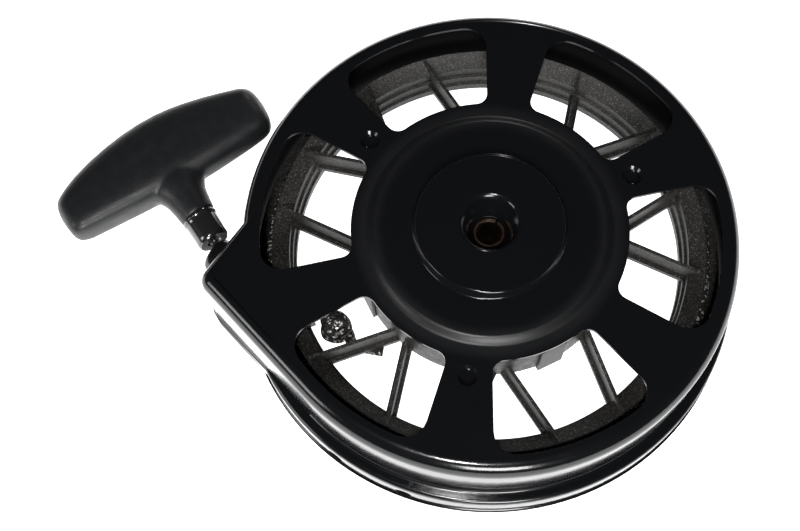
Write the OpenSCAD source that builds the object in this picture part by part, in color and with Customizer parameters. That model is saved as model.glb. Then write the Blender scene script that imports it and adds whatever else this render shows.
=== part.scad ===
// Recoil (rewind) starter for a small engine: stamped steel housing, spoked
// plastic pulley with its rewind spring, two starter dogs with their cam
// retainer, a braided rope and a moulded T-handle.
// Millimetres. Z = 0 is the plane of the housing's mounting rim, +Z is the
// visible face, and the pulley turns about the Z axis.

/* [Housing] */
// Outer radius of the drawn side wall
wall_r = 103.5; // [100:0.5:106]
// Height of the flat face above the mounting rim
face_z = 51; // [49:0.5:54]
// Thickness of the steel sheet
sheet_t = 1.4; // [1.2:0.1:1.6]
// Outside bend radius between the face and the wall
bend_r = 6; // [5:0.5:6.4]
// How far the mounting lip steps out from the wall
lip_step = 4.6; // [3.6:0.1:4.8]
// Radius of the screw holes in the mounting lip
lip_hole_r = 3.5; // [2.5:0.1:4]
// Height of the screw holes above the rim
lip_hole_z = 6.5; // [5.5:0.1:7]

/* [Cooling windows] */
// Number of windows
win_n = 6; // [6:1:6]
// Inner radius of the windows
win_ri = 57.6; // [57.5:0.1:60]
// Outer radius of the windows
win_ro = 95.5; // [88:0.1:96]
// Angle that each window spans
win_span = 42.4; // [34:0.1:43]
// Direction of the first window's middle
win_a0 = -5.5; // [-8:0.5:-3]

/* [Rope exit ear] */
// X of the ear's sharp corner
ear_x = -119.6; // [-121:0.1:-118]
// Y of the ear's sharp corner
ear_y = -29; // [-31:0.1:-27]
// Direction that the ear's end wall faces
end_a = 148.7; // [147:0.1:150]
// Plan radius of the ear's corner
ear_rc = 6.5; // [6.4:0.1:8]
// Height of the rope exit above the rim
rope_z = 32; // [31:0.1:33]

/* [Pulley] */
// Outer radius of the rope pulley
pul_r = 92.1; // [91.8:0.1:92.6]
// Outer radius of the spring cup
cup_r = 56; // [55.6:0.1:56.2]
// Angle from a spoke pair's root to each spoke's outer end
spoke_da = 13.7; // [11:0.1:15]
// Thickness of a spoke's upright rib
rib_t = 1.5; // [1.3:0.1:2.4]
// Width of a spoke's foot
foot_w = 4.6; // [4:0.1:8]

/* [Rope and handle] */
// Rope radius
rope_r = 2; // [1.8:0.1:2.1]
// Direction in which the rope is pulled
pull_a = 126.3; // [124:0.1:128]
// Distance from the rope exit to the middle of the grip
grip_d = 54.9; // [54:0.1:60]

/* [Dogs] */
// Radius of the circle of the dog pivots
dog_pr = 32; // [31:0.1:33]
// Distance from a dog's pivot to its tip
dog_len = 26; // [24:0.5:26]
// Turn of the retainer that throws the dogs fully out
cam_turn = 35; // [34:0.5:36]
// Turn of each dog from rest to fully out
dog_turn = 40; // [38:0.5:41]

/* [Hidden] */
$fn = 96;

// ---------- small vector helpers ----------
function dir(a) = [cos(a), sin(a)];
function v3(p, z) = [p[0], p[1], z];
function dot2(a, b) = a[0] * b[0] + a[1] * b[1];
function unit(v) = v / norm(v);
// arc points about c, radius r, from angle a0 to a1 in n steps
function arc(c, r, a0, a1, n) =
    [for (i = [0:n]) c + r * dir(a0 + (a1 - a0) * i / n)];
// smooth step between two profile points
function sstep(p, q, n) =
    [for (i = [0:n]) let (u = i / n)
        [p[0] + (q[0] - p[0]) * u, p[1] + (q[1] - p[1]) * (1 - cos(180 * u)) / 2]];
function rev(l) = [for (i = [len(l) - 1:-1:0]) l[i]];

// ---------- ear outline ----------
ear_c = [ear_x, ear_y];
wall_a = atan2(ear_y, ear_x) + acos(wall_r / norm(ear_c)) + 360; // tangent wall's normal
n1 = dir(wall_a);
n2 = dir(end_a);
k2 = dot2(ear_c, n2);
det12 = n1[0] * n2[1] - n1[1] * n2[0];
c1 = wall_r - ear_rc;
c2 = k2 - ear_rc;
ear_cc = [(c1 * n2[1] - n1[1] * c2) / det12, (n1[0] * c2 - c1 * n2[0]) / det12];
e_dir = [n2[1], -n2[0]];      // along the end wall towards the round wall
meet_s2 = -sqrt(wall_r * wall_r - k2 * k2);      // same point, measured along the end wall
meet_a = end_a + acos(k2 / wall_r);      // where the end wall meets the round wall

// rope line
pull_d = dir(pull_a);
exit_p = [-110.8, -14.6];
grip_p = exit_p + grip_d * pull_d;
wind_r3 = 93.3;
exit_a = atan2(exit_p[1], exit_p[0]) + 360;
tan_a = exit_a + acos(wind_r3 / norm(exit_p));
tan_p = wind_r3 * dir(tan_a);

module ear_plan(o) {
    circle(r = wall_r + o);
    polygon([[0, 0], (wall_r + o) * n1, ear_cc + (ear_rc + o) * n1,
             ear_cc + (ear_rc + o) * n2, n2 * (k2 + o) - e_dir * 45]);
    translate(ear_cc) circle(r = ear_rc + o);
}

// wall section, x = 0 at the wall's outer face
module bend_section() {
    t = sheet_t;
    z = face_z;
    polygon(concat(arc([-bend_r, z - bend_r], bend_r, 90, 0, 10),
        [[0, 24], [-t, 24]],
        arc([-bend_r, z - bend_r], bend_r - t, 0, 90, 10)));
}
module round_section() {
    t = sheet_t;
    z = face_z;
    s = lip_step;
    polygon(concat(arc([-bend_r, z - bend_r], bend_r, 90, 0, 10),
        [[0, 27], [-0.2, 24.5], [-0.7, 20.5], [-0.9, 18]],
        arc([0.7, 16.1], 1.6, 180, 270, 4),
        arc([s - 1.8, 12.7], 1.8, 90, 0, 6),
        [[s, 1.7], [s + 0.5, 1.4], [s + 0.9, 1.0], [s + 0.9, 0.3], [s + 0.6, 0], [s - t, 0],
         [s - t, 12.7], [s - t - 0.4, 13.1], [0.7, 13.1]],
        arc([0.7, 16.1], 3.0, 270, 180, 4),
        [[-0.9 - t, 18], [-0.7 - t, 20.5], [-0.2 - t, 24.5], [-t, 27]],
        arc([-bend_r, z - bend_r], bend_r - t, 0, 90, 10)));
}
module ear_section() {
    t = sheet_t;
    z = face_z;
    polygon(concat(arc([-bend_r, z - bend_r], bend_r, 90, 0, 10),
        [[0, 14], [0.3, 13.3], [0.8, 12.8], [0.8, 0], [0.8 - t, 0], [0.8 - t, 12.6], [0.1 - t, 13.4], [-t, 14]],
        arc([-bend_r, z - bend_r], bend_r - t, 0, 90, 10)));
}
// extrudes a wall section along a straight wall whose outward normal is n
module straight_wall(p, q) {
    d = unit(q - p);
    a = atan2(d[1], d[0]);
    translate([p[0], p[1], 0]) rotate([0, 0, a]) rotate([90, 0, 90])
        linear_extrude(norm(q - p)) children();
}
function corner_arc(rc, a, n0, n1) = arc([0, 0], rc, n0, n1, 6);
// window outline, symmetrical about angle 0
module window2d(ri, ro, h, ci, co) {
    to = h - asin(co / (ro - co));
    ti = h - asin(ci / (ri + ci));
    polygon(concat(
        [for (i = [-8:8]) ro * dir(to * i / 8)],
        [for (i = [1:6]) (ro - co) * dir(to) + co * dir(to + (h + 90 - to) * i / 6)],
        [for (i = [0:6]) (ri + ci) * dir(ti) + ci * dir(h + 90 + (ti + 180 - h - 90) * i / 6)],
        [for (i = [7:-1:-7]) ri * dir(ti * i / 8)],
        [for (i = [0:6]) (ri + ci) * dir(-ti) + ci * dir(-ti - 180 + (90 - h + ti) * i / 6)],
        [for (i = [0:5]) (ro - co) * dir(-to) + co * dir(-h - 90 + (h + 90 - to) * i / 6)]));
}
// raised hub with its drawn centre leg
hub_top = face_z + 5;
step_top = face_z + 2;
leg_ri = 6.9;
leg_ro = leg_ri + sheet_t;
leg_z0 = 19;
function hub_line(o) = concat([[54, face_z - o]],
    sstep([52 - 0.4 * o, face_z - o], [47.5 - 0.4 * o, step_top - o], 6),
    arc([32.9, step_top + 1], 1 + o, 270, 225, 2),
    arc([30.2 - 0.1, hub_top - 1], 1 - o / 4, 40, 90, 3) - [for (i = [0:3]) [0.3 * o, 0.75 * o]],
    arc([leg_ri + 6.9, hub_top - 2.6], 2.6 - o, 90, 150, 4),
    arc([leg_ri + 6, hub_top - 10.97], 6 - o, 150, 180, 4));
module hub_section() {
    polygon(concat(hub_line(0), [[leg_ri, leg_z0], [leg_ro, leg_z0]], rev(hub_line(sheet_t))));
}

module housing_shell() {
    color([0.03, 0.03, 0.032]) difference() {
        union() {
            // flat face
            translate([0, 0, face_z - sheet_t]) linear_extrude(sheet_t) difference() {
                ear_plan(-bend_r);
                circle(r = 54);
                for (i = [0:win_n - 1]) rotate(win_a0 + 60 * i)
                    window2d(win_ri, win_ro, win_span / 2, 5, 9);
            }
            // hub plateau, funnel and leg
            rotate_extrude() hub_section();
            // hook for the spring's inner end
            translate([leg_ri + 0.5, -1.5, 33]) cube([3.4, 3, 11]);
            // cups of the three drawn dimples
            for (i = [0:2]) rotate(24.5 + 120 * i) translate([64.4, 0, face_z - 3.4]) cylinder(r = 4.6, h = 2.6);
            // round wall with its lip
            rotate_extrude(angle = meet_a + 360.55 - wall_a, start = wall_a)
                translate([wall_r, 0]) round_section();
            // lip running on under the ear's straight wall
            rotate_extrude(angle = 18.5, start = wall_a - 18.5)
                translate([wall_r, 0]) lip_only();
            rotate_extrude(angle = 3.6, start = meet_a - 0.1)
                translate([wall_r, 0]) lip_only();
            // ear walls, cut back above the register of the lip
            difference() {
                union() {
                    straight_wall(wall_r * n1, ear_cc + ear_rc * n1) ear_section();
                    translate(ear_cc) rotate_extrude(angle = wall_a - end_a, start = end_a)
                        translate([ear_rc, 0]) ear_section();
                    straight_wall(ear_cc + ear_rc * n2, n2 * k2 + e_dir * (meet_s2 + 2.4)) ear_section();
                }
                translate([0, 0, -1]) cylinder(r = wall_r + lip_step - sheet_t, h = 14.1, $fn = 180);
            }
        }
        // rope exit
        translate(v3(exit_p, rope_z)) rotate([0, 90, end_a]) translate([0, 0, -6])
            cylinder(r = 5.2, h = 12);
        // three drawn dimples on the arms
        for (i = [0:2]) rotate(24.5 + 120 * i) translate([64.4, 0, face_z - 2.2]) {
            cylinder(r = 3.2, h = 8);
            translate([0, 0, 1.1]) cylinder(r1 = 3.2, r2 = 4.5, h = 1.3);
        }
        // pairs of screw holes round the lip
        for (i = [0:3], k = [-123.6, -106.2]) rotate(k + 90 * i)
            translate([wall_r + lip_step - 6, 0, lip_hole_z]) rotate([0, 90, 0])
                cylinder(r = lip_hole_r, h = 9);
    }
}
module lip_only() {
    s = lip_step;
    t = sheet_t;
    polygon(concat([[-0.6, 14.5], [-0.6, 13.1], [s - t - 0.4, 13.1], [s - t, 12.7], [s - t, 0],
        [s + 0.6, 0], [s + 0.9, 0.3], [s + 0.9, 1.0], [s + 0.5, 1.4], [s, 1.7]],
        arc([s - 1.8, 12.7], 1.8, 0, 90, 6)));
}

// moulded rope guide pressed into the end wall; x = 0 is the wall's outer face
module rope_grommet() {
    color([0.02, 0.02, 0.02]) translate(v3(exit_p, rope_z)) rotate([0, 90, end_a])
        rotate_extrude() polygon(concat(
            [[2.75, -1.1], [2.75, -0.3]],
            arc([7.35, -0.3], 4.6, 180, 100, 6),
            arc([6.4, 2.2], 2.2, 60, 0, 4),
            [[8.9, 1.4], [8.9, 0], [5.2, 0], [5.2, -1.4], [7.4, -1.4], [7.4, -2.4], [6.8, -3.2]],
            arc([6.6, -1.1], 3.85, 240, 180, 5)));
}

pin_z0 = 13.7;
pin_z1 = 44.6;
module center_pin() {
    color([0.35, 0.3, 0.26]) difference() {
        rotate_extrude() polygon([[0, pin_z0], [10.1, pin_z0], [10.5, pin_z0 + 0.4],
            [10.5, pin_z0 + 1.5], [leg_ri, pin_z0 + 1.5], [leg_ri, pin_z1 - 0.6], [leg_ri - 0.5, pin_z1], [5.6, pin_z1],
            [5.2, pin_z1 - 0.5], [5.2, pin_z0 + 2.4], [0, pin_z0 + 2.4]]);
        rotate(60) translate([3, -0.5, 17]) cube([6, 1, 40]);
    }
}
module ring(ri, ro, z0, h) {
    translate([0, 0, z0]) difference() {
        cylinder(r = ro, h = h);
        translate([0, 0, -1]) cylinder(r = ri, h = h + 2);
    }
}
module pin_washer() {
    color([0.62, 0.62, 0.6]) ring(leg_ri + 0.02, 12, 15.25, 0.95);
}
module hub_washer() {
    color([0.62, 0.62, 0.6]) ring(leg_ro + 0.02, 13, 31.05, 1.0);
}

// ---------- pulley ----------
hub_z0 = 25;
cup_z1 = 47;
rib_z1 = 37.3;
foot_z0 = 25.2;
foot_z1 = 27.6;
function slope_z(r) = 33.1 + 0.667 * (r - 85.1);
module spoke(a, s) {
    p = 55 * dir(a + s * 2.9);
    q = 91.0 * dir(a + s * (spoke_da - 0.05));
    d = q - p;
    g = 85.3 * dir(a + s * (spoke_da - 1.55));
    translate([p[0], p[1], 0]) rotate(atan2(d[1], d[0])) {
        translate([0, -rib_t / 2, foot_z0]) cube([norm(d), rib_t, rib_z1 - foot_z0]);
        translate([0, -foot_w / 2, foot_z0]) cube([norm(g - p), foot_w, foot_z1 - foot_z0]);
    }
}
dog_a = [-20, 160];      // directions of the dog pivots
module pulley() {
    color([0.09, 0.085, 0.08]) difference() {
        union() {
            // rope ring: dished top, stepped bore, rope groove outside
            rotate_extrude() polygon([[83, 19.3], [96.8, 19.3], [97.4, 19.9], [97.4, 21], [87.5, 22],
                [87.5, 31.4], [pul_r - 0.4, 34.2], [pul_r, 34.7], [pul_r, slope_z(pul_r - 0.6) - 0.5], [pul_r - 0.6, slope_z(pul_r - 0.6)],
                [85.1, slope_z(85.1)], [85.1, 28.6], [84, 28.0], [84, 23.6], [83, 23.0]]);
            difference() {
                for (i = [0:7], s = [-1, 1]) spoke(7 + 45 * i, s);
                rotate_extrude() polygon([[86.3, 20], [99, 20], [99, 40.6], [86.3, 32.3]]);
            }
            // spring cup with its floor and bearing boss
            rotate_extrude() polygon([[leg_ro + 0.06, hub_z0], [cup_r - 0.6, hub_z0], [cup_r, hub_z0 + 0.6],
                [cup_r, cup_z1], [cup_r - 2.5, cup_z1], [cup_r - 2.5, 29.2], [13.5, 29.2], [13.5, 31],
                [leg_ro + 0.06, 31]]);
            // pad round the rope's anchor hole
            rotate(hole_a) translate([80.4, -5, 19.3]) cube([5, 10, 12.2]);
        }
        // pockets for the dog springs
        for (a = dog_a) rotate(a) translate([dog_pr, 0, hub_z0 - 1]) cylinder(r = 8, h = 3.9);
        // rope anchor hole
        rotate(hole_a) translate([78, 0, 28.5]) rotate([0, 90, 0]) cylinder(r = 2.4, h = 10);
    }
    // pivot posts
    color([0.09, 0.085, 0.08]) for (a = dog_a) rotate(a) translate([dog_pr, 0, 18.7]) cylinder(r = 3.4, h = 9.5);
}

module spring_keeper() {
    color([0.3, 0.3, 0.31]) {
        rotate_extrude() polygon([[17, 47.1], [57.2, 47.1], [57.2, 47.9], [56.8, 48.3], [17, 48.3]]);
        for (i = [0:3]) rotate(29.5 + 90 * i) translate([0, -5.6, 0]) {
            translate([56.1, 0, 23.9]) cube([1.1, 11.2, 23.4]);
            translate([53, 0, 23.4]) cube([4.2, 11.2, 1.3]);
        }
    }
}

// spiral spring, packed towards the cup wall as it lies at rest
sp_n = 7;
sp_k = 22;
function sp_r(u) = 13.5 + 38.4 * pow(u, 0.62);
function sp_p(i, o) = let (u = i / (sp_n * sp_k), a = 12 + 360 * i / sp_k) (sp_r(u) + o) * dir(a);
module rewind_spring() {
    color([0.42, 0.43, 0.46]) translate([0, 0, 32.6]) linear_extrude(13.4) polygon(concat(
        [[9.0, 1.95], [10.8, 2.2], [13.0, 4.2]],
        [for (i = [1:sp_n * sp_k]) sp_p(i, 0.35)],
        [for (i = [sp_n * sp_k:-1:1]) sp_p(i, -0.35)],
        [[12.3, 4.6], [10.5, 2.95], [9.0, 2.65]]));
}

// ---------- rope ----------
// tube of radius r through the points of a path, m sides
function tube_frame(path, i) = let (n = len(path),
        t = unit(path[min(i + 1, n - 1)] - path[max(i - 1, 0)]),
        s = unit(cross(t, [0, 0, 1]))) [s, cross(s, t)];
module tube(path, r, m) { vtube(path, [for (p = path) r], m); }
// the same with its own radius at each point
module vtube(path, r, m) {
    n = len(path);
    pts = [for (i = [0:n - 1]) let (f = tube_frame(path, i))
        for (k = [0:m - 1]) path[i] + r[i] * (cos(360 * k / m) * f[0] + sin(360 * k / m) * f[1])];
    faces = concat([[for (k = [0:m - 1]) k]],
        [for (i = [0:n - 2], k = [0:m - 1])
            [i * m + k, (i + 1) * m + k, (i + 1) * m + (k + 1) % m, i * m + (k + 1) % m]],
        [[for (k = [m - 1:-1:0]) (n - 1) * m + k]]);
    polyhedron(points = pts, faces = faces, convexity = 8);
}
// three turns in the groove, from the exit tangent to the anchor hole
wind_end = tan_a + 1060;
wind_n = 106;
hole_a = 203.5;      // direction of the rope's anchor hole
function mixto(w, a, b) = min(1, max(0, (w - a) / (b - a)));
function wind_pt(u) = let (a = tan_a + (wind_end - tan_a) * u,
        w = u * (wind_end - tan_a) / 360,
        k = mixto(w, 0.95, 0.99),
        j = mixto(w, 1.912, 1.955),
        r = wind_r3 - 3.8 * k,
        z = 26.5 - 2.3 * k + 4.3 * j)
    [r * cos(a), r * sin(a), z];
module rope_winding() {
    color([0.06, 0.055, 0.05]) tube([for (i = [0:wind_n]) wind_pt(i / wind_n)], rope_r - 0.1, 8);
}
// one length of rope: through the anchor hole, tied in a knot, cut tail left over
knot_path = [[-81.5, -35.4, 28.5, 1.95], [-77.5, -33.7, 28.5, 1.95], [-73.6, -32.3, 28.4, 2], [-70.4, -31.9, 28.2, 2],
    [-67.8, -33.0, 28, 2.1], [-66.3, -34.5, 27.7, 4.2], [-64.9, -36.2, 27.4, 6], [-63.2, -38.3, 27, 6.9], [-61.4, -40.6, 26.6, 6.9],
    [-59.8, -42.7, 26.2, 6], [-58.6, -44.3, 25.8, 4.2], [-57.2, -45.6, 25.3, 2.1], [-53.4, -47.3, 24.4, 2], [-49.3, -48.3, 23.7, 2],
    [-45.2, -48.7, 23.2, 2], [-41.2, -48.6, 23, 2]];
module rope_knot() {
    color([0.06, 0.055, 0.05]) vtube([for (p = knot_path) [p[0], p[1], p[2]]], [for (p = knot_path) p[3]], 10);
}
module rope_run() {
    color([0.06, 0.055, 0.05]) tube([for (i = [0:8]) let (u = i / 8)
        v3(tan_p + (exit_p - tan_p) * (0.005 + 0.995 * u), 26.5 + (rope_z - 26.5) * (1 - cos(180 * u)) / 2)], rope_r - 0.1, 8);
}
module rope_lead() {
    color([0.06, 0.055, 0.05]) tube([for (i = [0:8])
        v3(exit_p + pull_d * (0.3 + (grip_d + 11) * i / 8), rope_z)], rope_r, 8);
}

// ---------- dogs, springs and retainer ----------
peg_d = 10;
arm_a0 = -115;         // arm direction from the pivot at rest, pivot on +X
module dog_shape() {
    tip = dog_len * [1, 0];
    circle(r = 6.6);
    polygon([[0, 6.2], [dog_len - 4, 5.4], [dog_len + 1.2, 4.2], [dog_len + 2.2, 1.5], [dog_len - 1, -4.4], [dog_len - 6, -5.2], [0, -6.2]]);
}
module starter_dog(a) {
    color([0.5, 0.47, 0.38]) rotate(a) translate([dog_pr, 0, 0]) rotate(arm_a0) {
        difference() {
            translate([0, 0, 18.8]) linear_extrude(5.7) dog_shape();
            translate([0, 0, 18]) cylinder(r = 3.46, h = 8);
        }
        translate([peg_d, 0, 16.0]) cylinder(r = 2, h = 3);
    }
}
module starter_dog_1() { starter_dog(dog_a[0]); }
module starter_dog_2() { starter_dog(dog_a[1]); }
// peg position seen from the retainer when it has turned by th
function peg_at(th) = let (b = arm_a0 + th * dog_turn / cam_turn,
        p = [dog_pr, 0] + peg_d * dir(b), r = norm(p), q = atan2(p[1], p[0]) - th) r * dir(q);
slot_w = 2.35;
module cam_slot() {
    n = 12;
    path = [for (i = [0:n]) peg_at(cam_turn * i / n)];
    ang = [for (i = [0:n]) let (d = path[min(i + 1, n)] - path[max(i - 1, 0)]) atan2(d[1], d[0])];
    polygon(concat([for (i = [0:n]) path[i] + slot_w * dir(ang[i] + 90)],
        [for (k = [1:5]) path[n] + slot_w * dir(ang[n] + 90 - 30 * k)],
        [for (i = [n:-1:0]) path[i] + slot_w * dir(ang[i] - 90)],
        [for (k = [1:5]) path[0] + slot_w * dir(ang[0] - 90 - 30 * k)]));
}
module retainer() {
    color([0.55, 0.53, 0.48]) {
        translate([0, 0, 16.4]) linear_extrude(1.8) difference() {
            circle(r = 41.5);
            circle(r = leg_ri + 0.06);
            for (a = dog_a) rotate(a) cam_slot();
            for (a = dog_a) rotate(a + 58) translate([47, 0]) circle(r = 22);
        }
        // stiffening collar round the bore, on the underside of the brake spring
        difference() {
            ring(leg_ri + 0.06, 10.2, 18.2, 0.6);
            translate([0, 0, 18]) cylinder(r = leg_ro + 0.3, h = 2);
        }
    }
}
function helix(r, z0, z1, turns, k) = [for (i = [0:turns * k]) let (a = 360 * i / k)
    [r * cos(a), r * sin(a), z0 + (z1 - z0) * i / (turns * k)]];
module brake_spring() {
    color([0.45, 0.46, 0.48]) tube(helix(11.6, 18.95, 24.25, 3, 16), 0.7, 8);
}
module dog_spring(a) {
    color([0.45, 0.46, 0.48]) rotate(a) translate([dog_pr, 0, 0]) rotate(150)
        tube(concat([[7.2, -3, 25.5]], helix(4.9, 25.5, 27.3, 2, 16), [[6.2, 3.2, 27.35]]), 0.35, 8);
}
module dog_spring_1() { dog_spring(dog_a[0]); }
module dog_spring_2() { dog_spring(dog_a[1]); }

// ---------- handle, drawn with the rope along -Y and the grip along X ----------
module at_grip() { translate(v3(grip_p, rope_z)) rotate(pull_a - 90) children(); }
module handle_grip() {
    color([0.07, 0.07, 0.07]) at_grip() difference() {
        union() {
            hull() {
                for (s = [-1, 1]) {
                    translate([s * 43.6, 6.4, 0]) sphere(r = 6.8, $fn = 24);
                    translate([s * 43.4, -3.6, 0]) sphere(r = 6.8, $fn = 24);
                    translate([s * 20, 13.2, 0]) sphere(r = 8.4, $fn = 24);
                    translate([s * 16, -4.4, 0]) sphere(r = 8.4, $fn = 24);
                }
                translate([0, 14.4, 0]) sphere(r = 8.8, $fn = 24);
            }
            rotate([90, 0, 0]) rotate_extrude() polygon(concat(
                [[0, 0], [9.6, 0]], arc([17.6, 11.5], 8, 180, 155, 3), [[8.0, 20], [7.0, 30], [4.4, 30], [4.4, 40.5], [0, 40.5]]));
        }
        rotate([90, 0, 0]) translate([0, 0, -30]) cylinder(r = 2.4, h = 80);
        rotate([-90, 0, 0]) translate([0, 0, 9]) cylinder(r = 4.9, h = 20);
    }
}
module handle_ferrule() {
    color([0.035, 0.035, 0.035]) at_grip() rotate([90, 0, 0]) rotate_extrude() polygon([
        [4.4, 30], [6.6, 30], [6.9, 30.4], [6.9, 31.3], [6.6, 31.7], [6.2, 42.6], [5.6, 43.6], [3.2, 43.6],
        [2.5, 42.8], [2.5, 40.5], [4.4, 40.5]]);
}
module handle_insert() {
    color([0.6, 0.6, 0.58]) at_grip() rotate([-90, 0, 0]) rotate_extrude() polygon([
        [2.45, 9], [4.85, 9], [4.85, 11.2], [4.2, 11.2], [4.2, 10.1], [2.45, 10.1]]);
}
module rope_handle_knot() {
    color([0.06, 0.055, 0.05]) at_grip() {
        translate([0, 14.2, 0]) sphere(r = 4.0, $fn = 24);
        translate([0.9, 16.4, 0.6]) sphere(r = 3.5, $fn = 24);
        translate([-0.8, 16.8, -0.6]) sphere(r = 3.4, $fn = 24);
    }
}

housing_shell();
rope_grommet();
center_pin();
pin_washer();
hub_washer();
pulley();
spring_keeper();
rewind_spring();
rope_winding();
rope_knot();
rope_run();
starter_dog_1();
starter_dog_2();
dog_spring_1();
dog_spring_2();
retainer();
brake_spring();
handle_grip();
handle_ferrule();
handle_insert();
rope_lead();
rope_handle_knot();
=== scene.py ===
import bpy, bmesh, math
import numpy as np
from mathutils import Vector, Matrix


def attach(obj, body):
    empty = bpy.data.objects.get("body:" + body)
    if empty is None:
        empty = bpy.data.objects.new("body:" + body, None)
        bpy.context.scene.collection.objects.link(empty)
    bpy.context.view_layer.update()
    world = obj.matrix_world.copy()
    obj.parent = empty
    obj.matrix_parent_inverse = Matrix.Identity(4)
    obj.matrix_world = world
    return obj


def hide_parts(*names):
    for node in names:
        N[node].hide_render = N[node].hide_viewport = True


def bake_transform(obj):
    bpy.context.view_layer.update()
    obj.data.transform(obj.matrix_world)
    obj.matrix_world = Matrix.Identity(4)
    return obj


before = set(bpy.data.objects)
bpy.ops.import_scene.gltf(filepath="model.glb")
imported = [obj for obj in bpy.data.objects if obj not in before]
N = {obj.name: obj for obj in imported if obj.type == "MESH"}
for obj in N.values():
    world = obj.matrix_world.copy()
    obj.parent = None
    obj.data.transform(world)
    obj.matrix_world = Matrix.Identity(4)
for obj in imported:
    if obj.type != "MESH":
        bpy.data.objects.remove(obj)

MM = 0.001


# ------------------------------------------------------------------ materials
def mat(name, color, rough, metal=0.0, spec=0.5, coat=0.0, coat_rough=0.05):
    m = bpy.data.materials.new(name)
    m.use_nodes = True
    b = m.node_tree.nodes["Principled BSDF"]
    b.inputs["Base Color"].default_value = (*color, 1)
    b.inputs["Roughness"].default_value = rough
    b.inputs["Metallic"].default_value = metal
    b.inputs["Specular IOR Level"].default_value = spec
    b.inputs["Coat Weight"].default_value = coat
    b.inputs["Coat Roughness"].default_value = coat_rough
    m.diffuse_color = (*color, 1)
    return m


def link(m, a, b):
    m.node_tree.links.new(a, b)


def node(m, kind, **kw):
    n = m.node_tree.nodes.new(kind)
    for k, v in kw.items():
        if k.startswith("i_"):
            n.inputs[k[2:].replace("_", " ")].default_value = v
        else:
            setattr(n, k, v)
    return n


def objco(m):
    return node(m, "ShaderNodeTexCoord").outputs["Object"]


def noise(m, scale, detail=3.0, rough=0.5, vec=None):
    n = node(m, "ShaderNodeTexNoise")
    n.inputs["Scale"].default_value = scale
    n.inputs["Detail"].default_value = detail
    n.inputs["Roughness"].default_value = rough
    link(m, vec if vec else objco(m), n.inputs["Vector"])
    return n.outputs["Fac"]


def ramp(m, fac, stops):
    r = node(m, "ShaderNodeValToRGB")
    e = r.color_ramp.elements
    while len(e) > len(stops):
        e.remove(e[-1])
    while len(e) < len(stops):
        e.new(1.0)
    for s, (p, c) in zip(e, stops):
        s.position = p
        s.color = (*c, 1) if len(c) == 3 else c
    link(m, fac, r.inputs["Fac"])
    return r.outputs["Color"]


def bump(m, fac, strength, dist):
    b = node(m, "ShaderNodeBump")
    b.inputs["Strength"].default_value = strength
    b.inputs["Distance"].default_value = dist
    link(m, fac, b.inputs["Height"])
    link(m, b.outputs["Normal"], m.node_tree.nodes["Principled BSDF"].inputs["Normal"])
    return b


def g(v):
    return (v, v, v)


def bsdf(m):
    return m.node_tree.nodes["Principled BSDF"]


# black enamel on the stamped steel, a little orange peel
M_housing = mat("housing_enamel", (0.0045, 0.0048, 0.0055), 0.13, spec=0.5)
bump(M_housing, noise(M_housing, 420, 2.0), 0.06, 0.0004)
hx = node(M_housing, "ShaderNodeSeparateXYZ")
link(M_housing, objco(M_housing), hx.inputs[0])
hr = node(M_housing, "ShaderNodeMath", operation="SQRT")
hs = node(M_housing, "ShaderNodeMath", operation="ADD")
for k in (0, 1):
    sq = node(M_housing, "ShaderNodeMath", operation="MULTIPLY")
    link(M_housing, hx.outputs[k], sq.inputs[0])
    link(M_housing, hx.outputs[k], sq.inputs[1])
    link(M_housing, sq.outputs[0], hs.inputs[k])
link(M_housing, hs.outputs[0], hr.inputs[0])
ha = node(M_housing, "ShaderNodeMath", operation="ADD")
hb = node(M_housing, "ShaderNodeMath", operation="MULTIPLY")
hb.inputs[1].default_value = 0.12
link(M_housing, noise(M_housing, 60, 4.0), hb.inputs[0])
link(M_housing, ramp(M_housing, hr.outputs[0], [(0.0425, g(0.07)), (0.0475, g(0.34)), (0.0535, g(0.36)), (0.0575, g(0.09))]), ha.inputs[0])
link(M_housing, hb.outputs[0], ha.inputs[1])
link(M_housing, ha.outputs[0], bsdf(M_housing).inputs["Roughness"])

M_inside = mat("housing_inside", (0.006, 0.006, 0.006), 0.9, spec=0.05)
bump(M_inside, noise(M_inside, 500, 3.0), 0.2, 0.0004)

M_edge = mat("housing_cut_edge", (0.03, 0.03, 0.032), 0.3, spec=0.6)
bump(M_edge, noise(M_edge, 900, 2.0), 0.1, 0.0002)

M_grommet = mat("grommet_plastic", (0.008, 0.008, 0.008), 0.16)
bump(M_grommet, noise(M_grommet, 300, 2.0), 0.03, 0.0003)

# textured black moulding of the pulley
M_pulley = mat("pulley_plastic", (0.03, 0.027, 0.024), 0.55, spec=0.28)
link(M_pulley, ramp(M_pulley, noise(M_pulley, 1300, 3.0, 0.7), [(0.35, (0.013, 0.012, 0.0115)), (0.55, (0.029, 0.0275, 0.0255)), (0.72, (0.17, 0.163, 0.153))]), bsdf(M_pulley).inputs["Base Color"])
link(M_pulley, ramp(M_pulley, noise(M_pulley, 300, 3.0), [(0.3, g(0.36)), (0.8, g(0.52))]), bsdf(M_pulley).inputs["Roughness"])
bump(M_pulley, noise(M_pulley, 1500, 3.0, 0.7), 0.5, 0.0004)

M_keeper = mat("keeper_steel", (0.010, 0.010, 0.010), 0.42, metal=0.0, spec=0.2)
bump(M_keeper, noise(M_keeper, 700, 2.0), 0.1, 0.0003)

M_pin = mat("pin_steel", (0.30, 0.22, 0.17), 0.38, metal=1.0)
link(M_pin, ramp(M_pin, noise(M_pin, 350, 4.0), [(0.3, (0.09, 0.055, 0.04)), (0.7, (0.24, 0.17, 0.13))]), bsdf(M_pin).inputs["Base Color"])
bump(M_pin, noise(M_pin, 900, 2.0), 0.15, 0.0002)

M_zinc = mat("zinc_steel", (0.6, 0.6, 0.58), 0.35, metal=1.0)
bump(M_zinc, noise(M_zinc, 800, 2.0), 0.1, 0.0002)

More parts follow.
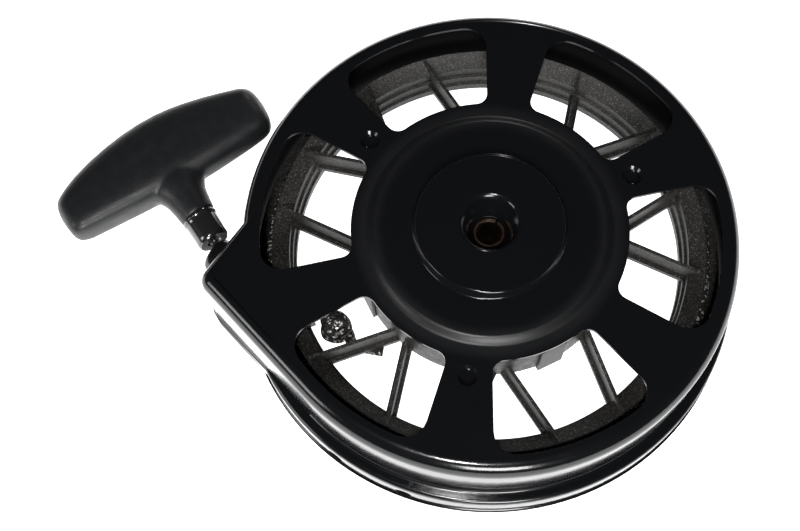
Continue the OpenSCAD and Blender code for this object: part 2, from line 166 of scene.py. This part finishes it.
M_spring = mat("spring_steel", (0.34, 0.35, 0.38), 0.3, metal=1.0)
bump(M_spring, noise(M_spring, 600, 2.0), 0.08, 0.0002)

M_dog = mat("dog_steel", (0.55, 0.47, 0.30), 0.38, metal=1.0)
link(M_dog, ramp(M_dog, noise(M_dog, 160, 4.0), [(0.3, (0.42, 0.36, 0.22)), (0.7, (0.62, 0.56, 0.38))]), bsdf(M_dog).inputs["Base Color"])
bump(M_dog, noise(M_dog, 500, 3.0), 0.2, 0.0003)

M_ret = mat("retainer_steel", (0.5, 0.49, 0.46), 0.36, metal=1.0)
bump(M_ret, noise(M_ret, 500, 3.0), 0.12, 0.0002)

M_grip = mat("grip_plastic", (0.010, 0.0105, 0.0115), 0.42, spec=0.4)
link(M_grip, ramp(M_grip, noise(M_grip, 200, 3.0), [(0.3, g(0.36)), (0.8, g(0.5))]), bsdf(M_grip).inputs["Roughness"])
bump(M_grip, noise(M_grip, 1400, 2.0, 0.6), 0.22, 0.0003)

M_ferrule = mat("ferrule_plastic", (0.012, 0.012, 0.0125), 0.16, spec=0.8, coat=0.6, coat_rough=0.12)
bump(M_ferrule, noise(M_ferrule, 250, 2.0), 0.05, 0.0003)


def math_n(m, op, a, b=None, c=None):
    n = node(m, "ShaderNodeMath", operation=op)
    for k, x in enumerate((a, b, c)):
        if x is None:
            continue
        if isinstance(x, (int, float)):
            n.inputs[k].default_value = x
        else:
            link(m, x, n.inputs[k])
    return n.outputs[0]


def braid(m, u, v):
    """u is metres along the rope, v is turns round it: the height of a diamond braid, and a colour from it with painted
    shade in the grooves between strands and white specks in a random share of cells, partly white fibres and partly
    painted glints brightest on the strand crests.
    """
    k = 2 * math.pi
    a = math_n(m, "MULTIPLY", u, k / 0.0019)
    b = math_n(m, "MULTIPLY", v, k * 6)
    p = math_n(m, "SINE", math_n(m, "ADD", a, b))
    q = math_n(m, "SINE", math_n(m, "SUBTRACT", a, b))
    h = math_n(m, "ADD", math_n(m, "MULTIPLY", math_n(m, "MULTIPLY", p, q), 0.5), 0.5)
    cv = node(m, "ShaderNodeCombineXYZ")
    link(m, math_n(m, "FLOOR", math_n(m, "ADD", math_n(m, "MULTIPLY", u, 2 / 0.0019), math_n(m, "MULTIPLY", v, 12.0))), cv.inputs[0])
    link(m, math_n(m, "FLOOR", math_n(m, "SUBTRACT", math_n(m, "MULTIPLY", u, 2 / 0.0019), math_n(m, "MULTIPLY", v, 12.0))), cv.inputs[1])
    # white specks in a random share of braid cells: partly white fibres, partly painted glints
    wn = node(m, "ShaderNodeTexWhiteNoise", noise_dimensions="2D")
    link(m, cv.outputs[0], wn.inputs["Vector"])
    fibre_and_glint_specks = math_n(m, "GREATER_THAN", wn.outputs["Value"], 0.8)
    col = node(m, "ShaderNodeMix", data_type="RGBA")
    link(m, fibre_and_glint_specks, col.inputs[0])
    # painted shade: the strand colour is darker in the braid grooves; the specks carry a painted highlight, lighter on
    # the crests
    strand_colour_with_painted_groove_shade = ramp(m, h, [(0.0, (0.004, 0.004, 0.004)), (1.0, (0.035, 0.033, 0.031))])
    speck_colour_with_painted_glint = ramp(m, h, [(0.0, (0.03, 0.03, 0.03)), (0.6, (0.62, 0.60, 0.57))])
    link(m, strand_colour_with_painted_groove_shade, col.inputs[6])
    link(m, speck_colour_with_painted_glint, col.inputs[7])
    link(m, col.outputs[2], bsdf(m).inputs["Base Color"])
    bump(m, h, 0.9, 0.0004)


M_rope = mat("rope_braid", (0.03, 0.03, 0.03), 0.8, spec=0.3)
uvn = node(M_rope, "ShaderNodeUVMap")
sx = node(M_rope, "ShaderNodeSeparateXYZ")
link(M_rope, uvn.outputs[0], sx.inputs[0])
braid(M_rope, sx.outputs[0], sx.outputs[1])

PULL = Vector((math.cos(math.radians(126.3)), math.sin(math.radians(126.3)), 0))
SIDE = Vector((-PULL.y, PULL.x, 0))
EXIT = Vector((-0.1108, -0.0146, 0.032))
# the lead is stretched when the rope is pulled, so its braid is laid along it in place, not along its own mesh
M_lead = mat("rope_braid_lead", (0.03, 0.03, 0.03), 0.8, spec=0.3)
oc = objco(M_lead)
sub = node(M_lead, "ShaderNodeVectorMath", operation="SUBTRACT")
link(M_lead, oc, sub.inputs[0])
sub.inputs[1].default_value = EXIT


def dotn(m, vec, d):
    n = node(m, "ShaderNodeVectorMath", operation="DOT_PRODUCT")
    link(m, vec, n.inputs[0])
    n.inputs[1].default_value = d
    return n.outputs["Value"]


lu = dotn(M_lead, sub.outputs[0], PULL)
lv = math_n(M_lead, "DIVIDE", math_n(M_lead, "ARCTAN2", dotn(M_lead, sub.outputs[0], (0, 0, 1)), dotn(M_lead, sub.outputs[0], SIDE)), 2 * math.pi)
braid(M_lead, lu, lv)


# ------------------------------------------------------------------ helpers
def new_obj(name, verts, faces, m, smooth=True, uvs=None, angle=None):
    me = bpy.data.meshes.new(name)
    me.from_pydata([tuple(v) for v in verts], [], faces)
    me.validate()
    me.update()
    if uvs is not None:
        lay = me.uv_layers.new(name="UVMap")
        for p in me.polygons:
            for li, uv in zip(p.loop_indices, uvs[p.index]):
                lay.data[li].uv = uv
    o = bpy.data.objects.new(name, me)
    bpy.context.scene.collection.objects.link(o)
    me.materials.append(m)
    if smooth:
        me.polygons.foreach_set("use_smooth", [True] * len(me.polygons))
        if angle:
            me.set_sharp_from_angle(angle=math.radians(angle))
    return o


def tube(name, path, rad, m, sides=20, caps=True):
    path = [Vector(p) for p in path]
    n = len(path)
    rads = rad if isinstance(rad, (list, tuple)) else [rad] * n
    t = [(path[min(i + 1, n - 1)] - path[max(i - 1, 0)]).normalized() for i in range(n)]
    up = Vector((0, 0, 1)) if abs(t[0].z) < 0.9 else Vector((1, 0, 0))
    s = t[0].cross(up).normalized()
    verts, faces, uvs = [], [], []
    length = [0.0]
    for i in range(1, n):
        length.append(length[-1] + (path[i] - path[i - 1]).length)
    for i in range(n):
        if i:
            s = (s - t[i] * s.dot(t[i])).normalized()
        b = s.cross(t[i])
        for k in range(sides):
            a = 2 * math.pi * k / sides
            verts.append(path[i] + rads[i] * (math.cos(a) * s + math.sin(a) * b))
    for i in range(n - 1):
        for k in range(sides):
            k2 = (k + 1) % sides
            faces.append((i * sides + k, (i + 1) * sides + k, (i + 1) * sides + k2, i * sides + k2))
            uvs.append(((length[i], k / sides), (length[i + 1], k / sides), (length[i + 1], (k + 1) / sides), (length[i], (k + 1) / sides)))
    if caps:
        faces.append(tuple(range(sides)))
        uvs.append(tuple((0, 0) for _ in range(sides)))
        faces.append(tuple(range((n - 1) * sides, n * sides))[::-1])
        uvs.append(tuple((0, 0) for _ in range(sides)))
    o = new_obj(name, verts, faces, m, uvs=uvs)
    bm = bmesh.new()
    bm.from_mesh(o.data)
    bmesh.ops.recalc_face_normals(bm, faces=bm.faces)
    bm.to_mesh(o.data)
    bm.free()
    return o


def spline(pts, per=12):
    """Catmull-Rom through the points."""
    P = [Vector(p) for p in pts]
    P = [2 * P[0] - P[1]] + P + [2 * P[-1] - P[-2]]
    out = []
    for i in range(1, len(P) - 2):
        for j in range(per):
            u = j / per
            a, b, c, d = P[i - 1], P[i], P[i + 1], P[i + 2]
            out.append(0.5 * ((2 * b) + (c - a) * u + (2 * a - 5 * b + 4 * c - d) * u * u + (3 * b - a - 3 * c + d) * u ** 3))
    out.append(P[-2])
    return out


def from_cad(name, node_name, m, body, weld=True, angle=32, bevel=0.0, seg=2):
    """A copy of the CAD node's own mesh that can be finished: welded, edges marked."""
    src = N[node_name]
    me = src.data.copy()
    me.name = name
    o = bpy.data.objects.new(name, me)
    bpy.context.scene.collection.objects.link(o)
    o.matrix_world = src.matrix_world.copy()
    bm = bmesh.new()
    bm.from_mesh(me)
    bmesh.ops.remove_doubles(bm, verts=bm.verts, dist=2e-6)
    bm.to_mesh(me)
    bm.free()
    me.materials.clear()
    me.materials.append(m)
    for at in ("custom_normal",):
        if at in me.attributes:
            me.attributes.remove(me.attributes[at])
    me.polygons.foreach_set("use_smooth", [True] * len(me.polygons))
    clean_normals(me, angle)
    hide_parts(node_name)
    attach(o, body)
    return o


def clean_normals(me, angle):
    """Corner normals for a CAD mesh: flat areas stay flat up to their edge, rounds run smoothly into them, and edges over the angle stay sharp."""
    nf, nl = len(me.polygons), len(me.loops)
    fn = np.empty(nf * 3)
    me.polygons.foreach_get("normal", fn)
    fn = fn.reshape(-1, 3)
    ar = np.empty(nf)
    me.polygons.foreach_get("area", ar)
    # coplanar areas, joined over shared edges
    par = list(range(nf))

    def find(x):
        while par[x] != x:
            par[x] = par[par[x]]
            x = par[x]
        return x

    edge = {}
    for p in me.polygons:
        vs = p.vertices
        for i in range(len(vs)):
            k = (vs[i], vs[(i + 1) % len(vs)])
            k = k if k[0] < k[1] else (k[1], k[0])
            q = edge.get(k)
            if q is None:
                edge[k] = p.index
            elif fn[q] @ fn[p.index] > 0.9999995:
                par[find(p.index)] = find(q)
    root = np.array([find(i) for i in range(nf)])
    tot = np.zeros(nf)
    np.add.at(tot, root, ar)
    comp = tot[root]
    big = 300e-6
    at = [[] for _ in range(len(me.vertices))]
    pair = {}
    for p in me.polygons:
        for v in p.vertices:
            at[v].append(p.index)
        for k in p.edge_keys:
            pair.setdefault(k, []).append(p.index)
    # the rim of each flat area gets a fan of its own at every corner
    for e in me.edges:
        f = pair.get(tuple(sorted(e.vertices)), [])
        if len(f) == 2 and root[f[0]] != root[f[1]] and max(comp[f[0]], comp[f[1]]) > big:
            e.use_edge_sharp = True
    cosa = math.cos(math.radians(angle))
    co = np.empty(len(me.vertices) * 3)
    me.vertices.foreach_get("co", co)
    co = co.reshape(-1, 3)
    out = np.empty((nl, 3))
    for p in me.polygons:
        vs = list(p.vertices)
        for i, li in enumerate(p.loop_indices):
            v = vs[i]
            fs = [f for f in at[v] if fn[f] @ fn[p.index] > cosa]
            best = max(fs, key=lambda f: comp[f])
            if comp[best] > big:
                out[li] = fn[best]
            else:
                acc = np.zeros(3)
                for f in fs:
                    q = list(me.polygons[f].vertices)
                    j = q.index(v)
                    a = co[q[j - 1]] - co[v]
                    b = co[q[(j + 1) % len(q)]] - co[v]
                    w = math.acos(max(-1.0, min(1.0, float(a @ b) / (np.linalg.norm(a) * np.linalg.norm(b) + 1e-20))))
                    acc += w * fn[f]
                out[li] = acc / (np.linalg.norm(acc) + 1e-20)
    me.normals_split_custom_set(out.tolist())


def paint(node_name, m, angle=32):
    o = N[node_name]
    o.data.materials.clear()
    o.data.materials.append(m)


# ------------------------------------------------------------------ CAD pieces kept as they are
for nm, m in (("pin_washer", M_zinc), ("hub_washer", M_zinc), ("rewind_spring", M_spring),
              ("starter_dog_1", M_dog), ("starter_dog_2", M_dog), ("dog_spring_1", M_spring), ("dog_spring_2", M_spring),
              ("retainer", M_ret), ("brake_spring", M_spring), ("handle_insert", M_zinc), ("rope_handle_knot", M_rope)):
    paint(nm, m)

housing = from_cad("housing_visual", "housing_shell", M_housing, "housing")
# the inside of the shell is dull primer
housing.data.materials.append(M_inside)
for p in housing.data.polygons:
    c = housing.matrix_world @ p.center
    r = math.hypot(c.x, c.y)
    rad = (p.normal.x * c.x + p.normal.y * c.y) / max(r, 1e-9)
    if (r > 0.060 and c.z < 0.0505 and c.z > 0.012 and rad < -0.25 and r > 0.0955) or (p.normal.z < -0.5 and r > 0.05 and c.z > 0.03):
        p.material_index = 1
pulley = from_cad("pulley_visual", "pulley", M_pulley, "pulley")
for v in pulley.data.vertices:
    r = math.hypot(v.co.x, v.co.y)
    if r > 0.0966:
        k = (r + 0.0029) / r
        v.co.x *= k
        v.co.y *= k
keeper = from_cad("keeper_visual", "spring_keeper", M_keeper, "pulley")
pin = from_cad("pin_visual", "center_pin", M_pin, "housing")
grommet = from_cad("grommet_visual", "rope_grommet", M_grommet, "housing")
ferrule = from_cad("ferrule_visual", "handle_ferrule", M_ferrule, "handle")



def about_rope(o, base, axis, fn):
    """Moves each point of o by fn(distance along the axis, distance from it), which gives both anew."""
    axis = axis.normalized()
    inv = o.matrix_world.inverted()
    for v in o.data.vertices:
        p = o.matrix_world @ v.co - base
        u = p.dot(axis)
        r = p - axis * u
        u2, r2 = fn(u / MM, r.length / MM)
        v.co = inv @ (base + axis * u2 * MM + (r.normalized() * r2 * MM if r.length > 1e-9 else r))


def smooth_all(o, angle=40):
    if "custom_normal" in o.data.attributes:
        o.data.attributes.remove(o.data.attributes["custom_normal"])
    o.data.update()
    clean_normals(o.data, angle)


# the ferrule is moulded fuller than its plain CAD sleeve, and the rope guide's lip stands up to it
about_rope(ferrule, EXIT, PULL, lambda u, r: (u, r * 1.13 if r > 5.4 else r))
smooth_all(ferrule)
WALLN = Vector((math.cos(math.radians(148.7)), math.sin(math.radians(148.7)), 0))
about_rope(grommet, EXIT, WALLN, lambda u, r: (u if u < 0.6 else 0.6 + (u - 0.6) * 1.75, r if u < 0.6 else r - 0.12 * (u - 0.6)))
smooth_all(grommet)

# ------------------------------------------------------------------ rope
R_ROPE = 0.0021
tan_a = math.degrees(math.atan2(-14.6, -110.8)) % 360 + math.degrees(math.acos(93.3 / math.hypot(110.8, 14.6)))
wind_end = tan_a + 1060


def wind_pt(u):
    a = tan_a + (wind_end - tan_a) * u
    w = u * (wind_end - tan_a) / 360
    k = min(1, max(0, (w - 0.95) / 0.04))
    j = min(1, max(0, (w - 1.912) / 0.043))
    k, j = k * k * (3 - 2 * k), j * j * (3 - 2 * j)
    r, z = 93.3 - 3.8 * k, 26.5 - 2.3 * k + 4.3 * j
    a = math.radians(a)
    return Vector((r * math.cos(a), r * math.sin(a), z)) * MM


winding = tube("winding_visual", [wind_pt(i / 420) for i in range(421)], R_ROPE, M_rope, 14)
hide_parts("rope_winding")
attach(winding, "pulley")

ta = math.radians(tan_a)
TAN = Vector((0.0933 * math.cos(ta), 0.0933 * math.sin(ta), 0.0265))
run_pts = []
for i in range(25):
    u = i / 24
    p = TAN.lerp(EXIT, u)
    p.z = 0.0265 + 0.0055 * (1 - math.cos(math.pi * u)) / 2
    run_pts.append(p)
run = tube("run_visual", run_pts, R_ROPE, M_rope, 20)
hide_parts("rope_run")
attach(run, "housing")

# knot and tail inside the pulley ring
kc = Vector((-62.3, -39.6, 27.6))


def kp(x, y, z):
    return (kc + Vector((x, y, z)) * 1.3) * MM


knot_pts = [(-81.5, -35.4, 28.5), (-77.5, -33.7, 28.5), (-73.6, -32.3, 28.4), (-70.0, -31.9, 28.6), (-67.2, -33.6, 29.4)]
knot_pts = [Vector(p) * MM for p in knot_pts] + [
    kp(-2.9, 0.6, 1.6), kp(0.2, 3.3, 1.8), kp(3.2, 1.2, -0.8), kp(1.6, -2.8, -2.0), kp(-2.6, -2.6, -0.4),
    kp(-2.8, 1.6, -2.0), kp(1.6, 2.6, -2.4), kp(3.6, -0.8, 1.4), kp(0.4, -3.4, 2.3), kp(-2.2, -1.0, 3.0), kp(1.2, 1.0, 2.8),
    kp(4.2, -1.8, 0.4), Vector((-55.2, -45.4, 25.4)) * MM, Vector((-51.0, -46.8, 24.4)) * MM, Vector((-46.4, -47.4, 23.9)) * MM, Vector((-41.8, -47.8, 23.6)) * MM]
knot = tube("knot_visual", spline(knot_pts, 10), 0.00235, M_rope, 16)
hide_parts("rope_knot")
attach(knot, "pulley")

# lead into the handle, stretched between the housing and the handle when the rope is pulled
GRIP = EXIT + PULL * 0.0549
lead_pts = [EXIT + PULL * (0.0003 + 0.0656 * i / 40) for i in range(41)]
lead = tube("lead_visual", lead_pts, R_ROPE, M_lead, 20)
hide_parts("rope_lead")
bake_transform(lead)

# ------------------------------------------------------------------ T-grip
AX = Vector((math.cos(math.radians(36.3)), math.sin(math.radians(36.3)), 0))   # along the grip
AY = -PULL                                                                 # towards the housing
outer = [(-51.0, -2.0), (-50.4, -6.0), (-48.8, -9.6), (-43, -13.0), (-37, -15.9), (-28, -19.0), (-18.6, -21.3), (-10, -22.8), (-1.4, -23.6), (7, -23.6), (14.6, -22.8),
         (22, -21.4), (29, -19.7), (38, -17.0), (46, -14.3), (49.3, -12.0), (50.7, -7.5), (51.0, -3.0)]
inner = [(-51.0, -2.0), (-50.8, 4.4), (-50.0, 8.0), (-48.2, 10.2), (-44, 11.2), (-36, 11.8), (-20, 12.8), (0, 13.6), (20, 12.8), (36, 11.6), (44, 10.6), (47.8, 9.4), (49.6, 7.2), (50.6, 3.2), (51.0, -3.0)]


def interp(tab, x):
    xs = [p[0] for p in tab]
    ys = [p[1] for p in tab]
    return float(np.interp(x, xs, ys))


def grip_mesh():
    verts, faces = [], []
    xs = []
    n = 72
    for i in range(n + 1):
        c = -math.cos(math.pi * i / n)
        xs.append(50.9 * (0.55 * c + 0.45 * (2 * i / n - 1)))
    k = 48
    for x in xs:
        yo, yi = interp(outer, x), interp(inner, x)
        e = max(0.0, (abs(x) - 42.0) / 9.0)
        hz = (9.6 - 1.5 * (abs(x) / 50) ** 2) * math.sqrt(max(0.03, 1 - min(1.0, e) ** 3.2))
        cy, a = (yo + yi) / 2, (yi - yo) / 2
        a = max(a, 0.8)
        for j in range(k):
            th = 2 * math.pi * j / k
            ct, st = math.cos(th), math.sin(th)
            ex = 2 / (3.8 if ct > 0 else 2.6)
            yy = cy + a * math.copysign(abs(ct) ** ex, ct)
            zz = hz * math.copysign(abs(st) ** ex, st)
            verts.append((x, yy, zz))
    for i in range(n):
        for j in range(k):
            j2 = (j + 1) % k
            faces.append((i * k + j, i * k + j2, (i + 1) * k + j2, (i + 1) * k + j))
    faces.append(tuple(range(k))[::-1])
    faces.append(tuple(range(n * k, (n + 1) * k)))
    # stem: surface of revolution towards the housing
    base = len(verts)
    prof = [(-6, 9.6, 8.4), (4, 10.6, 8.6), (10, 12.6, 8.8), (12.6, 13.2, 8.8), (14.2, 11.6, 8.8), (16, 10.5, 8.7), (19, 9.3, 8.5), (24, 8.5, 8.15), (29.6, 7.8, 7.75), (30.1, 7.5, 7.45)]
    s = 48
    for y, rx, rz in prof:
        for j in range(s):
            th = 2 * math.pi * j / s
            verts.append((rx * math.cos(th), y, rz * math.sin(th)))
    for i in range(len(prof) - 1):
        for j in range(s):
            j2 = (j + 1) % s
            faces.append((base + i * s + j, base + (i + 1) * s + j, base + (i + 1) * s + j2, base + i * s + j2))
    faces.append(tuple(base + j for j in range(s)))
    faces.append(tuple(base + (len(prof) - 1) * s + j for j in range(s))[::-1])
    M = Matrix((AX, AY, AX.cross(AY))).transposed()
    out = []
    for v in verts:
        p = GRIP + (AX * v[0] + AY * v[1] + Vector((0, 0, 1)) * v[2]) * MM
        out.append(p)
    return out, faces


gv, gf = grip_mesh()
grip = new_obj("grip_visual", gv, gf, M_grip)
bm = bmesh.new()
bm.from_mesh(grip.data)
bmesh.ops.recalc_face_normals(bm, faces=bm.faces)
bm.to_mesh(grip.data)
bm.free()
rm = grip.modifiers.new("remesh", "REMESH")
rm.mode = "VOXEL"
rm.voxel_size = 0.0009
rm.use_smooth_shade = True
sm = grip.modifiers.new("smooth", "SMOOTH")
sm.factor = 0.5
sm.iterations = 8
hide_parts("handle_grip")
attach(grip, "handle")


# ------------------------------------------------------------------ floor, lights, camera
def plane(name, size, z, m):
    o = new_obj(name, [(-size, -size, z), (size, -size, z), (size, size, z), (-size, size, z)], [(0, 1, 2, 3)], m, smooth=False)
    return o


M_floor = mat("studio_floor", (0.9, 0.9, 0.9), 0.9, spec=0.0)
bsdf(M_floor).inputs["Emission Color"].default_value = (1, 1, 1, 1)
bsdf(M_floor).inputs["Emission Strength"].default_value = 1.5
floor = plane("studio_floor", 6.0, -0.0002, M_floor)


def area(name, loc, target, size, power, size_y=None, glossy=True, diffuse=True):
    l = bpy.data.lights.new(name, "AREA")
    l.energy = power
    l.shape = "RECTANGLE"
    l.size = size
    l.size_y = size_y or size
    o = bpy.data.objects.new(name, l)
    bpy.context.scene.collection.objects.link(o)
    o.location = loc
    o.rotation_euler = (Vector(target) - Vector(loc)).to_track_quat("-Z", "Y").to_euler()
    o.visible_glossy = glossy
    o.visible_diffuse = diffuse
    return o


area("camera_flash", (-0.05, -0.42, 1.05), (0, 0, 0.03), 0.10, 5.0, glossy=True)
area("front_soft", (0.15, -1.2, 0.85), (0, 0, 0.03), 0.45, 16, glossy=True)
area("left_key", (-1.3, -0.7, 0.75), (0, 0, 0.03), 0.5, 5, glossy=True)
area("back_window", (0.25, 2.4, 1.3), (0, 0, 0.03), 0.14, 6, size_y=0.25, glossy=True)

w = bpy.data.worlds.new("studio")
bpy.context.scene.world = w
w.use_nodes = True
w.node_tree.nodes["Background"].inputs["Color"].default_value = (0.5, 0.52, 0.56, 1)
w.node_tree.nodes["Background"].inputs["Strength"].default_value = 0.06

cam_d = bpy.data.cameras.new("cam")
cam = bpy.data.objects.new("cam", cam_d)
bpy.context.scene.collection.objects.link(cam)
bpy.context.scene.camera = cam
cam_d.sensor_width = 36
cam_d.lens = 54.26
cam_d.clip_start = 0.01
fw = Vector((-0.04810, 0.35536, -0.93349))
upv = Vector((-0.05213, 0.93241, 0.35764))
rt = Vector((0.99748, 0.06586, -0.02633))
R = Matrix((rt, upv, -fw)).transposed()
cam.matrix_world = Matrix.Translation((-0.01217, -0.19453, 0.51163)) @ R.to_4x4()
bpy.context.scene.view_settings.view_transform = "Standard"
